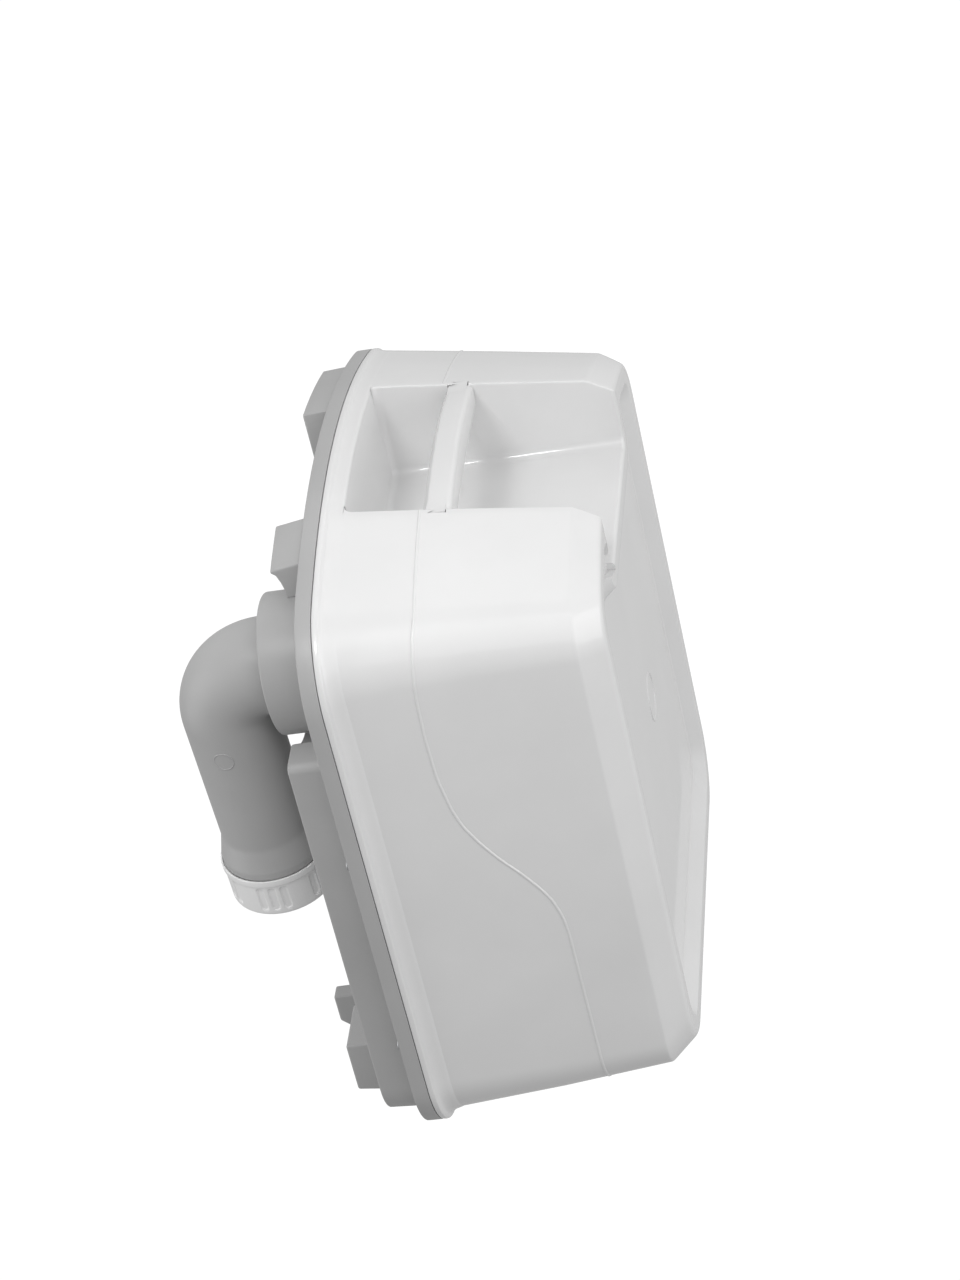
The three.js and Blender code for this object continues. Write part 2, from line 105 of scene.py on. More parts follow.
SLOT_OF = {
    "valve_body": "inner_grey",
    "blade_guide_left": "inner_grey",
    "blade_guide_right": "inner_grey",
    "valve_blade": "inner_grey",
    "float_bracket": "inner_grey",
    "spout_washer": "inner_grey",
    "deck_gasket": "seal_rubber",
    "spout_o_ring": "seal_rubber",
    "cap_gasket": "seal_rubber",
    "vent_seal": "seal_rubber",
    "float_pin": "steel",
    "float_arm": "indicator",
    "level_float": "float_foam",
}

# ---------------------------------------------------------------- mesh helpers (millimetres in, metres out)


def piece(name, verts, faces, slot, body, stands_for=(), sharp=32.0):
    """A shown piece with smooth faces, riding on a CAD body."""
    mesh = bpy.data.meshes.new(name)
    mesh.from_pydata([(x * MM, y * MM, z * MM) for x, y, z in verts], [], faces)
    obj = bpy.data.objects.new(name, mesh)
    bpy.context.scene.collection.objects.link(obj)
    finish_mesh(obj, sharp)
    if slot:
        mesh.materials.append(MATERIALS[slot])
        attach(obj, body)
    if stands_for:
        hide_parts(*stands_for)
    return obj


def finish_mesh(obj, sharp=32.0):
    """Welds a mesh, points its normals outwards and shades it smooth up to the sharp angle."""
    mesh = obj.data
    bm = bmesh.new()
    bm.from_mesh(mesh)
    bmesh.ops.remove_doubles(bm, verts=bm.verts, dist=1e-6)
    bmesh.ops.dissolve_degenerate(bm, edges=bm.edges, dist=1e-6)
    bmesh.ops.recalc_face_normals(bm, faces=bm.faces)
    bm.to_mesh(mesh)
    bm.free()
    mesh.shade_smooth()
    mesh.set_sharp_from_angle(angle=math.radians(sharp))


def combine(obj, others, operation="DIFFERENCE", sharp=32.0):
    """Cuts or joins other solids into obj and removes them."""
    for other in others:
        mod = obj.modifiers.new("cut", "BOOLEAN")
        mod.operation = operation
        mod.solver = "MANIFOLD"
        mod.object = other
    bpy.context.view_layer.update()
    graph = bpy.context.evaluated_depsgraph_get()
    mesh = bpy.data.meshes.new_from_object(obj.evaluated_get(graph))
    obj.modifiers.clear()
    old = obj.data
    obj.data = mesh
    bpy.data.meshes.remove(old)
    for other in others:
        bpy.data.objects.remove(other)
    mesh.name = obj.name
    finish_mesh(obj, sharp)
    return obj


def rounded(points, radii, steps=5, closed=False):
    """A polyline with each corner rounded to its radius."""
    out = []
    n = len(points)
    for i, (p, r) in enumerate(zip(points, radii)):
        if r <= 0 or (not closed and i in (0, n - 1)):
            out.append(p)
            continue
        v = Vector(p)
        a = Vector(points[i - 1]) - v
        b = Vector(points[(i + 1) % n]) - v
        la, lb = a.length, b.length
        a.normalize()
        b.normalize()
        half = math.acos(max(-1.0, min(1.0, a.dot(b)))) / 2
        if half > math.radians(88):
            out.append(p)
            continue
        cut = min(r / math.tan(half), 0.48 * la, 0.48 * lb)
        r = cut * math.tan(half)
        centre = v + (a + b).normalized() * (r / math.sin(half))
        start, end = v + a * cut - centre, v + b * cut - centre
        turn = start.angle_signed(end)
        for k in range(steps + 1):
            t = -turn * k / steps
            c, s = math.cos(t), math.sin(t)
            out.append((centre.x + start.x * c - start.y * s, centre.y + start.x * s + start.y * c))
    return out


def loft(rings, wrap=False):
    """Faces through rings of equal length, closed by end caps or by joining the last ring to the first."""
    n = len(rings[0])
    verts = [p for ring in rings for p in ring]
    faces = []
    count = len(rings)
    for k in range(count if wrap else count - 1):
        a, b = k * n, ((k + 1) % count) * n
        for i in range(n):
            j = (i + 1) % n
            faces.append((a + i, a + j, b + j, b + i))
    if not wrap:
        faces.append(tuple(reversed(range(n))))
        faces.append(tuple(range((count - 1) * n, count * n)))
    return verts, faces


def lathe(profile, segments=128, wrap=True):
    """Rings of a turned body about +Z through the origin; a wrapped profile is a closed section."""
    rings = []
    for r, z in profile:
        ring = []
        for i in range(segments):
            t = 2 * math.pi * i / segments
            ring.append((max(r, 0.02) * math.cos(t), max(r, 0.02) * math.sin(t), z))
        rings.append(ring)
    return loft(rings, wrap)


def turned(name, profile, x, y, slot, body, stands_for=(), segments=128, wrap=True, sharp=32.0):
    """A shown piece turned about a vertical axis."""
    verts, faces = lathe(profile, segments, wrap)
    verts = [(px + x, py + y, pz) for px, py, pz in verts]
    return piece(name, verts, faces, slot, body, stands_for, sharp)


def placed(x, y, turn):
    """The transform that turns a mesh about +Z and then moves it to x, y."""
    return Matrix.Translation((x * MM, y * MM, 0)) @ Matrix.Rotation(turn, 4, "Z")


def drill(x, y, r, z0, z1, segments=64):
    """A round cutter."""
    verts, faces = lathe([(r, z0), (r, z1)], segments, wrap=False)
    return piece("drill", [(px + x, py + y, pz) for px, py, pz in verts], faces, None, None)


def block(name, x0, x1, outline, bevel=0.0, steps=3):
    """A plate with a YZ outline between two X positions, with rounded edges."""
    n = len(outline)
    verts = [(x0, y, z) for y, z in outline] + [(x1, y, z) for y, z in outline]
    faces = [(i, (i + 1) % n, n + (i + 1) % n, n + i) for i in range(n)]
    faces += [tuple(range(n)), tuple(reversed(range(n, 2 * n)))]
    obj = piece(name, verts, faces, None, None)
    if bevel > 0:
        round_edges(obj, bevel, 12, steps)
    return obj


def round_edges(obj, width, angle, steps=3):
    """Rounds every edge of a solid that turns by more than an angle."""
    bm = bmesh.new()
    bm.from_mesh(obj.data)
    bmesh.ops.dissolve_limit(bm, angle_limit=math.radians(1.0), verts=bm.verts, edges=bm.edges)
    edges = [e for e in bm.edges if e.calc_face_angle(0.0) > math.radians(angle)]
    shape = {"segments": steps, "profile": 0.5, "affect": "EDGES", "clamp_overlap": True}
    bmesh.ops.bevel(bm, geom=edges, offset=width * MM, **shape)
    bm.to_mesh(obj.data)
    bm.free()
    finish_mesh(obj)


def rect(y0, y1, z0, z1):
    """The corners of an upright rectangle in YZ."""
    return [(y0, z0), (y1, z0), (y1, z1), (y0, z1)]


def dress(obj, slot, body, *stands_for):
    """Gives a combined solid its finish, its body and the CAD nodes that it stands for."""
    obj.data.materials.clear()
    obj.data.materials.append(MATERIALS[slot])
    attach(obj, body)
    if stands_for:
        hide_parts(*stands_for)
    return obj


# ---------------------------------------------------------------- tank outlines

# half width, front, bow radius, front corner radius, back, back corner radius
LEVELS = [
    (0.0, (153.5, -174.5, 464.0, 33.0, 184.5, 38.0)),
    (16.0, (167.0, -184.8, 420.0, 34.0, 190.0, 32.0)),
    (85.0, (176.5, -193.5, 465.0, 40.0, 195.0, 37.0)),
    (150.0, (186.0, -200.6, 517.0, 46.0, 198.5, 44.0)),
    (158.5, (190.0, -202.4, 517.0, 52.0, 201.0, 47.0)),
]
FLANGE = (194.0, -204.0, 517.0, 58.0, 204.0, 50.0)
RECESS_HALF, RECESS_INNER, RECESS_TOP, RECESS_R = 75.0, -130.0, 150.0, 6.0
LEDGE_TOP, PLATEAU_TOP = 173.6, 197.4
PORT = (0.0, 50.0)
SPOUT_X, SPOUT_Y = -119.0, -123.4
COUNTS = (6, 10, 8, 6, 16, 18, 12, 16, 8)


def mix(a, b, t):
    """The tuple a share t of the way from a to b."""
    return tuple(x + (y - x) * t for x, y in zip(a, b))


def level(z):
    """The plan dimensions of the tank at height z."""
    k = 1
    while k < len(LEVELS) - 1 and LEVELS[k][0] < z:
        k += 1
    (za, a), (zb, b) = LEVELS[k - 1], LEVELS[k]
    return mix(a, b, (z - za) / (zb - za))


def tank_half(p, d=0.0, dr=0.0, recess=True, mid=0.0, edge=1.2, counts=COUNTS):
    """Half of the plan outline, from the middle of the front round to the middle of the back."""
    half, front, bow, rf, back, rb = p
    n1, n2, n3, n4, n5, n6, n7, n8, n9 = counts
    w, yb, big, cyc = half - d, back - d, bow - d, front + bow
    rf, rb = max(rf - d, 1.0), max(rb - d, 1.0)
    a = math.asin((w - rf) / (big - rf))
    ccy = cyc - (big - rf) * math.cos(a)
    w0, yi, rc = RECESS_HALF + dr, RECESS_INNER + dr, max(RECESS_R + dr, 0.5)
    re = max(edge - max(min(d, dr), 0.0), 0.4)
    cx = w0 + re
    cy = cyc - math.sqrt((big - re) ** 2 - cx * cx)
    end = math.atan2(cy - cyc, cx)
    t0 = math.asin(cx / (big - re))
    out = []
    if recess:
        out += [((w0 - rc) * i / n1, yi) for i in range(n1)]
        for i in range(n2):
            t = math.pi / 2 * (1 - i / n2)
            out.append((w0 - rc + rc * math.cos(t), yi - rc + rc * math.sin(t)))
        out += [(w0, yi - rc + (cy - yi + rc) * i / n3) for i in range(n3)]
        for i in range(n4):
            t = -math.pi + (end + math.pi) * i / n4
            out.append((cx + re * math.cos(t), cy + re * math.sin(t)))
    else:
        shares = [0.70 * i / n1 for i in range(n1)] + [0.70 + 0.12 * i / n2 for i in range(n2)]
        shares += [0.82 + 0.13 * i / n3 for i in range(n3)] + [0.95 + 0.05 * i / n4 for i in range(n4)]
        for f in shares:
            t = t0 * f
            out.append(((big - mid) * math.sin(t), cyc - (big - mid) * math.cos(t)))
    for i in range(n5):
        t = t0 + (a - t0) * i / n5
        out.append((big * math.sin(t), cyc - big * math.cos(t)))
    for i in range(n6):
        t = a - math.pi / 2 + (math.pi / 2 - a) * i / n6
        out.append((w - rf + rf * math.cos(t), ccy + rf * math.sin(t)))
    out += [(w, ccy + (yb - rb - ccy) * i / n7) for i in range(n7)]
    for i in range(n8):
        t = math.pi / 2 * i / n8
        out.append((w - rb + rb * math.cos(t), yb - rb + rb * math.sin(t)))
    out += [((w - rb) * (1 - i / n9), yb) for i in range(n9 + 1)]
    return out


def tank_ring(p, z, **kw):
    """The whole plan outline at height z."""
    side = tank_half(p, **kw)
    ring = side + [(-x, y) for x, y in reversed(side[1:-1])]
    return [(x, y, z) for x, y in ring]


def quarter(z, r):
    """How far a surface stands in from its wall at height z below a rounding of radius r."""
    return r - math.sqrt(max(r * r - (r - z) ** 2, 0.0)) if z < r else 0.0


# ---------------------------------------------------------------- tank shell


def tank_shell():
    """The white tank: one skin from the base panel to the lip, hollowed, with its openings cut."""
    base = LEVELS[0][1]
    rings = []
    panel = rounded([(24.0, 9.0), (20.0, 9.0), (12.2, 0.0), (6.5, 0.0)], [0, 3.0, 1.4, 0], 6)
    for d, z in panel:
        rings.append(tank_ring(base, z, d=d, dr=d))
    for z in (0.0, 0.12, 0.45, 1.0, 1.6, 2.4, 3.4, 4.6, 6.0):
        rings.append(tank_ring(level(z), z, d=quarter(z, 2.0), dr=quarter(z, 2.4)))
    soft = {14.8: 0.0, 15.3: 0.05, 15.65: 0.12, 16.0: 0.17, 16.35: 0.12, 16.7: 0.05, 17.2: 0.0}
    for z in (9.0, 11.5, *soft, 24, 32, 40, 48, 56, 64, 72, 80, 85, 90, 98, 106, 114, 122, 130, 138, 143.5):
        rings.append(tank_ring(level(z), z, d=soft.get(z, 0.0)))
    for z in (145.8, 146.6, 147.6, 148.5, 149.2, 149.7, 150.0):
        rings.append(tank_ring(level(z), z, dr=-quarter(RECESS_TOP - z, 4.5)))
    rings.append(tank_ring(level(RECESS_TOP), RECESS_TOP, dr=-5.5))
    for z in (150.0, 150.1, 150.45, 151.0, 151.6):
        rings.append(tank_ring(level(z), z, recess=False, mid=quarter(z - RECESS_TOP, 1.6)))
    top = LEVELS[-1][1]
    neck = level(RECESS_TOP)
    lip = [(153.0, neck, top, 0.3), (155.4, neck, top, 0.52)]
    lip += [(157.0, neck, top, 0.78), (158.0, neck, top, 0.97)]
    lip += [(158.7, top, FLANGE, 0.22), (159.1, top, FLANGE, 0.5)]
    lip += [(159.5, top, FLANGE, 0.76), (160.1, top, FLANGE, 0.94)]
    lip += [(160.9, top, FLANGE, 1.0), (162.3, top, FLANGE, 1.0)]
    for z, a, b, t in lip:
        rings.append(tank_ring(mix(a, b, t), z, recess=False))
    for z, d in ((162.9, 0.12), (163.3, 0.45), (163.5, 1.0), (163.5, 2.5)):
        rings.append(tank_ring(FLANGE, z, recess=False, d=d))
    verts, faces = loft(rings)
    shell = piece("tank_shell_body", verts, faces, None, None)
    wall, floor_z = 3.5, 12.5
    hollow = []
    for z in (12.5, 12.9, 13.9, 15.8, 18.5):
        inset = wall + quarter(z - floor_z, 6.0)
        hollow.append(tank_ring(level(z), z, d=inset, dr=inset))
    hollow += [tank_ring(level(z), z, d=wall, dr=wall) for z in (30.0, 60.0, 85.0, 120.0, 150.0, 158.5)]
    verts, faces = loft(hollow)
    cutters = [piece("hollow", verts, faces, None, None)]
    cutters.append(drill(*PORT, 47, 150, 170, 96))
    cutters.append(drill(SPOUT_X, SPOUT_Y, 24, 150, 170))
    cutters.append(block("slot", 106.5, 113.5, rect(-8, 44, 150, 170)))
    cutters.append(block("sockets", -79, 79, rect(-188.6, -178.4, 89.4, 102.6)))
    pocket = [(-78, -152), (-75, -141), (-66, -130), (-66, -125), (-101, -138.5), (-110, -149), (-92, -156)]
    cutters.append(piece("pocket", *loft([[(x, y, z) for x, y in pocket] for z in (-1.0, 5.0)]), None, None))
    combine(shell, cutters)
    return dress(shell, "tank_white", "tank", "tank_shell")


tank_shell()

# The moulding line: along the front face, down across each side and round the back.
LINE_YZ = [
    (-300, 105), (-166, 105), (-153, 107.8), (-125, 110.9), (-97, 111.7), (-68, 110.9),
    (-55, 108.9), (-44, 107.2), (-31, 103.3), (-17, 96.1), (-3, 87), (9, 77.4),
    (23, 68.1), (33, 62.8), (46, 59.2), (58, 57.8), (73, 57.7),
    (101, 57.4), (141, 57), (173, 56.8), (300, 56.8),
]


def line_height(y):
    """The height of the moulding line at y."""
    for (ya, za), (yb, zb) in zip(LINE_YZ, LINE_YZ[1:]):
        if y <= yb:
            return za + (zb - za) * (y - ya) / (yb - ya)
    return LINE_YZ[-1][1]


def moulding_line():
    """The raised line round the tank, from one front corner of the recess to the other."""
    counts = (2, 2, 2, 2, 24, 24, 150, 24, 16)
    skip = 8
    first = tank_half(level(85.0), counts=counts)
    heights = [line_height(y) for _, y in first]
    for _ in range(3):
        middle = [sum(heights[i - 1:i + 2]) / 3 for i in range(1, len(heights) - 1)]
        heights = [heights[0], *middle, heights[-1]]
    path = [(*tank_half(level(z), counts=counts)[i], z) for i, z in enumerate(heights)]
    path = path[skip:] + [(-x, y, z) for x, y, z in reversed(path[skip:-1])]
    section = [(-1.15, -0.6), (-1.0, 0.0), (-0.62, 0.36), (0.0, 0.5), (0.62, 0.36), (1.0, 0.0), (1.15, -0.6)]
    rings = []
    for i, p in enumerate(path):
        p = Vector(p)
        along = Vector(path[min(i + 1, len(path) - 1)]) - Vector(path[max(i - 1, 0)])
        out = Vector((along.y, -along.x, 0.0)).normalized()
        side = along.normalized().cross(out)
        rings.append([tuple(p + side * s + out * h) for s, h in section])
    verts, faces = loft(rings)
    piece("moulding_line", verts, faces, "tank_white", "tank", sharp=60)


moulding_line()


def ring_mark(name, x, y, z, r, width, height, slot, body):
    """A thin raised ring on a face that looks down."""
    root, flank = z + 0.4, z - height * 0.8
    section = [(r - width, root), (r - width * 0.7, flank), (r, z - height)]
    section += [(r + width * 0.7, flank), (r + width, root)]
    turned(name, section, x, y, slot, body, segments=96, sharp=60)


ring_mark("base_ring_mark", 21, 27, 9, 15.5, 0.9, 0.5, "tank_white", "tank")

# ---------------------------------------------------------------- carry handle


def carry_handle():
    """The bowed bar with its rounded section and the tenon that joins it to the tank."""
    corners = [(-193.4, 87.0), (-174.0, 87.0), (-174.0, 105.0), (-189.0, 105.0), (-193.4, 101.5)]
    section = rounded(corners, [3.0, 3.5, 3.5, 1.6, 1.8], 5, closed=True)
    rings = []
    for i in range(49):
        x = -74.7 + 149.4 * i / 48
        rings.append([(x, y + x * x / 860 * (1.0 if y < -180 else 0.35), z) for y, z in section])
    verts, faces = loft(rings)
    bar = piece("carry_handle_bar", verts, faces, None, None)
    combine(bar, [block("tenon", -78.6, 78.6, rect(-188, -179, 90, 102))], "UNION")
    return dress(bar, "tank_white", "tank", "carry_handle")


carry_handle()

# ---------------------------------------------------------------- top deck

VENT_X, VENT_Y = 0.0, -136.0
WINDOW = (110.0, 0.0)
PLATEAU = (179.0, -92.0, 4000.0, 5.0, 192.0, 30.0)
NOTCH_R, NOTCH_EDGE = 50.0, 4.0


def meet(c0, r0, c1, r1, pick):
    """The crossing of two circles that pick prefers."""
    dx, dy = c1[0] - c0[0], c1[1] - c0[1]
    gap = math.hypot(dx, dy)
    a = (gap * gap + r0 * r0 - r1 * r1) / (2 * gap)
    h = math.sqrt(max(r0 * r0 - a * a, 0.0))
    mx, my = c0[0] + dx * a / gap, c0[1] + dy * a / gap
    both = [(mx + dy * h / gap, my - dx * h / gap), (mx - dy * h / gap, my + dx * h / gap)]
    return pick(both, key=lambda q: q[0])


def plateau_ring(z, d=0.0):
    """The plan outline of the raised deck, with its round bay for the spout collar."""
    half, front, bow, rf, back, rb = PLATEAU
    centre, spout = (0.0, front + bow), (SPOUT_X, SPOUT_Y)
    a = math.asin((half - rf) / (bow - rf))
    ccy = centre[1] - (bow - rf) * math.cos(a)
    near = meet(centre, bow - NOTCH_EDGE, spout, NOTCH_R + NOTCH_EDGE, min)
    far = meet(centre, bow - NOTCH_EDGE, spout, NOTCH_R + NOTCH_EDGE, max)

    def toward(p, q):
        return math.atan2(q[1] - p[1], q[0] - p[0])

    out = []

    def arc(c, r, t0, t1, n):
        for i in range(n + 1):
            t = t0 + (t1 - t0) * i / n
            out.append((c[0] + r * math.cos(t), c[1] + r * math.sin(t), z))

    arc(near, NOTCH_EDGE - d, toward(centre, near), toward(near, spout), 6)
    arc(spout, NOTCH_R + d, toward(spout, near), toward(spout, far), 28)
    arc(far, NOTCH_EDGE - d, toward(far, spout), toward(centre, far), 6)
    arc(centre, bow - d, toward(centre, far) + 0.002, a - math.pi / 2 - 0.001, 24)
    arc((half - rf, ccy), rf - d, a - math.pi / 2, 0.0, 10)
    arc((half - rb, back - rb), rb - d, 0.0, math.pi / 2, 12)
    arc((rb - half, back - rb), rb - d, math.pi / 2, math.pi, 12)
    arc((rf - half, ccy), rf - d, -math.pi, -math.pi / 2 - a, 10)
    return out


def front_pad(x0, x1, top, lean, profile):
    """A raised pad behind the bowed front edge of the deck, its front leaning back at the top."""
    rings = []
    for z, back in ((171.5, 1.6), (top, 1.6 + lean)):
        row = []
        for i in range(21):
            x = x0 + (x1 - x0) * i / 20
            row.append((x, -204 + 517 - math.sqrt(517 ** 2 - x * x) + back, z))
        rings.append(row + [(x1, -140, z), (x0, -140, z)])
    pad = piece("pad", *loft(rings), None, None)
    combine(pad, [block("profile", x0 - 1, x1 + 1, profile)], "INTERSECT")
    round_edges(pad, 1.3, 30)
    return pad


def top_deck():
    """The grey cover: skirt and ledge, raised deck, pads and lugs, hollow below."""
    edge = rounded([(4.5, 163.8), (0.0, 163.8), (0.0, LEDGE_TOP), (3.5, LEDGE_TOP)], [0, 0.5, 0.9, 0], 4)
    skirt = [tank_ring(FLANGE, z, recess=False, d=d) for d, z in edge]
    deck = piece("top_deck_body", *loft(skirt), None, None)
    wall = [(-3.4, 172.6), (-3.4, 173.75), (-1.2, 173.75), (0.0, PLATEAU_TOP), (4.0, PLATEAU_TOP)]
    wall = rounded(wall, [0, 0, 1.6, 1.5, 0], 5)
    upper = [plateau_ring(z, d * 0.86) for d, z in wall]
    joined = [piece("plateau", *loft(upper), None, None)]
    far = [(-210, 171), (-210, 190), (-158, 190), (-150, 186), (-146, 171)]
    joined.append(front_pad(43, 123, 190, 1.2, far))
    near = [(-210, 171), (-210, 192), (-184, 192), (-182, 189.4)]
    near += [(-177, 187.6), (-171, 186.3), (-141, 185), (-141, 171)]
    joined.append(front_pad(-117, -78, 192, 3.4, near))
    rib = block("rib", -1.8, 1.8, [(40, 172), (40, 176.8), (52, 178.8), (52, 172)], 0.6)
    rib.data.transform(placed(SPOUT_X, SPOUT_Y, math.radians(32)))
    joined.append(rib)
    combine(deck, joined, "UNION")
    combine(deck, [drill(SPOUT_X, SPOUT_Y, 43.3, LEDGE_TOP, 210, 128)])
    joined = []
    wide = [(150, 195.5), (151, 221), (187, 221), (190, 195.5)]
    slim = [(160, 195.5), (161, 239), (181, 239), (187, 232), (188, 195.5)]
    for x in (-125, 125):
        joined.append(block("lug", x - 21, x + 21, wide, 1.6))
    for x in (-76, 76):
        joined.append(block("lug", x - 6, x + 6, slim, 1.4))
    combine(deck, joined, "UNION")
    under = [tank_ring(FLANGE, z, recess=False, d=4.0) for z in (160.0, 170.6)]
    inside = [plateau_ring(160.0, 3.0), plateau_ring(194.4, 3.6)]
    cutters = [piece("under", *loft(under), None, None), piece("inside", *loft(inside), None, None)]
    cutters.append(drill(*PORT, 50.5, 190, 210, 128))
    cutters.append(drill(SPOUT_X, SPOUT_Y, 24, 160, 180))
    cutters.append(drill(VENT_X, VENT_Y, 4.4, 160, 180))
    cutters.append(drill(*WINDOW, 12, 190, 210))
    cutters.append(block("slot", -53, 53, rect(185, 212, 183, 188.5)))
    combine(deck, cutters)
    return dress(deck, "deck_grey", "tank", "top_deck")


top_deck()

# ---------------------------------------------------------------- spout

TILT = math.radians(-5.0)
BEND_Z, BEND_R = 209.3, 31.0
AXIS_Z = BEND_Z + BEND_R
ROOT_R, PIPE_R, CUFF_R, BORE_R = 29.5, 28.8, 32.8, 25.0


def swivelled(verts):
    """Points about the swivel axis, turned to the rest angle and moved to the spout's place."""
    c, s = math.cos(TILT), math.sin(TILT)
    return [(SPOUT_X + x * c - y * s, SPOUT_Y + x * s + y * c, z) for x, y, z in verts]


def spout_elbow():
    """A swept bend with a foot flange, a cuff and an open bore; built about the swivel axis."""
    segments, bend_steps = 96, 32
    end = 40.0 - SPOUT_Y
    cuff = 18.0 - SPOUT_Y
    rings = []

    def ring(y, z, angle, r):
        out = []
        for i in range(segments):
            t = 2 * math.pi * i / segments
            up = r * math.sin(t)
            out.append((r * math.cos(t), y + up * math.cos(angle), z - up * math.sin(angle)))
        rings.append(out)

    def bend(i, r):
        t = math.pi / 2 * i / bend_steps
        ring(BEND_R * (1 - math.cos(t)), BEND_Z + BEND_R * math.sin(t), t, r)

    foot = [(BORE_R, 175.0), (36.0, 175.0), (36.0, 178.5), (ROOT_R, 178.5), (ROOT_R, 205.0)]
    for r, z in rounded(foot, [0.6, 0.5, 0.5, 0.8, 0], 3):
        ring(0.0, z, 0.0, r)
    for i in range(bend_steps + 1):
        bend(i, ROOT_R + (PIPE_R - ROOT_R) * min(1.0, 1.4 * i / bend_steps))
    pipe = [(60.0, PIPE_R), (cuff - 21.0, PIPE_R), (cuff - 5.5, CUFF_R - 0.1), (cuff, CUFF_R)]
    pipe += [(cuff, PIPE_R), (end, PIPE_R), (end, BORE_R)]
    for y, r in rounded(pipe, [0, 16.0, 8.0, 0.8, 0.3, 0.6, 0.6], 10):
        ring(y, AXIS_Z, math.pi / 2, r)
    for y in (end - 20, end - 60, end - 100):
        ring(y, AXIS_Z, math.pi / 2, BORE_R)
    for i in range(bend_steps, -1, -1):
        bend(i, BORE_R)
    ring(0.0, 190.0, 0.0, BORE_R)
    verts, faces = loft(rings, wrap=True)
    piece("spout_elbow_tube", swivelled(verts), faces, "deck_grey", "spout", ("spout_elbow",))


spout_elbow()


def rib_depth(angle, y):
    """Depth of the grip recesses: groups of three rounded slots round the cap."""
    groups, pitch, half_width, y0, y1 = 6, 7.6, 2.3, 26.0, 39.0
    sector = 2 * math.pi / groups
    local = (angle + sector / 2) % sector - sector / 2
    best = 0.0
    for k in (-1, 0, 1):
        dx = local * 33.8 - k * pitch
        dy = max(y0 - y, 0.0, y - y1)
        away = math.hypot(dx, dy)
        best = max(best, min(1.0, max(0.0, (half_width + 0.45 - away) / 0.9)))
    return 0.9 * best * best * (3 - 2 * best)


def spout_cap():
    """The screw cap: its rim round the cuff, a ribbed skirt, and a shallow dish in its end."""
    segments = 432
    outer = [(30.0, 19.4)]
    lip = [(30.0, 19.2), (33.35, 19.2), (33.35, 17.2), (34.5, 17.2), (34.5, 21.4), (33.7, 22.2)]
    outer += rounded(lip, [0, 0.2, 0.2, 0.6, 0.6, 0], 4)[1:]
    outer += [(33.7, 22.8 + 0.5 * i) for i in range(38)]
    end = [(33.7, 41.6), (33.7, 45.5), (20.0, 45.5), (19.0, 45.1), (0.0, 45.1)]
    outer += rounded(end, [0, 3.2, 0.5, 0.5, 0], 6)
    outer += [(0.0, 42.0), (30.0, 42.0)]
    rings = []
    for r, y in outer:
        ring = []
        for i in range(segments):
            t = 2 * math.pi * i / segments
            deep = rib_depth(t, y) if r > 33.0 and 22.5 < y < 42.0 else 0.0
            rr = max(r, 0.02) - deep
            ring.append((rr * math.cos(t), y - SPOUT_Y, AXIS_Z + rr * math.sin(t)))
        rings.append(ring)
    verts, faces = loft(rings, wrap=True)
    piece("spout_cap_shell", swivelled(verts), faces, "cap_white", "cap", ("spout_cap",), sharp=40)


spout_cap()


def spout_mark():
    """The small moulded ring on the side of the bend."""
    rings = []
    for i in range(48):
        t = 2 * math.pi * i / 48
        y, z = 47.0 + 6.0 * math.cos(t), AXIS_Z + 4.0 + 6.0 * math.sin(t)
        ring = []
        for s, h in ((-0.55, -0.5), (-0.4, 0.15), (0.0, 0.28), (0.4, 0.15), (0.55, -0.5)):
            yy, zz = y + s * math.cos(t), z + s * math.sin(t)
            up = math.asin((zz - AXIS_Z) / PIPE_R)
            ring.append((-(PIPE_R + h) * math.cos(up), yy, AXIS_Z + (PIPE_R + h) * math.sin(up)))
        rings.append(ring)
    verts, faces = loft(rings, wrap=True)
    piece("spout_ring_mark", swivelled(verts), faces, "deck_grey", "spout", sharp=60)


spout_mark()


def spout_collar():
    """The fixed ring that the elbow's foot turns in."""
    collar = [(36.6, 173.9), (43.0, 173.9), (43.0, 203.4), (36.5, 203.4)]
    collar += [(36.0, 201.4), (30.5, 200.6), (30.5, 183.2), (36.6, 183.2)]
    section = rounded(collar, [0.4, 0.4, 1.0, 1.0, 0.8, 0.8, 0.4, 0.4], 5, closed=True)
    turned("spout_collar_ring", section, SPOUT_X, SPOUT_Y, "deck_grey", "tank", ("spout_collar",))


spout_collar()

# ---------------------------------------------------------------- deck fittings

RETAINER_SCREWS = []
for corner in range(4):
    turn = math.pi / 2 * (corner + 0.5)
    RETAINER_SCREWS.append((PORT[0] + 56 * math.cos(turn), PORT[1] + 56 * math.sin(turn)))


def port_seal():
    """The rubber mouth of the waste opening and the ring that holds it down."""
    seal = [(43, 187.3), (47, 187.3), (49.8, 190), (49.8, 203.5), (45.3, 203.5), (43, 200)]
    section = rounded(seal, [0.4, 0.6, 0.8, 1.2, 1.6, 1.4], 5, closed=True)
    turned("port_seal_ring", section, *PORT, "seal_rubber", "tank", ("port_seal",))
    retainer = [(50.2, 197.7), (61.0, 197.7), (61.0, 200.3), (50.2, 200.3)]
    section = rounded(retainer, [0.2, 0.3, 1.0, 0.8], 4, closed=True)
    disc = turned("seal_retainer_ring", section, *PORT, None, None)
    combine(disc, [drill(x, y, 2.3, 190, 210, 32) for x, y in RETAINER_SCREWS])
    dress(disc, "deck_grey", "tank", "seal_retainer")


port_seal()


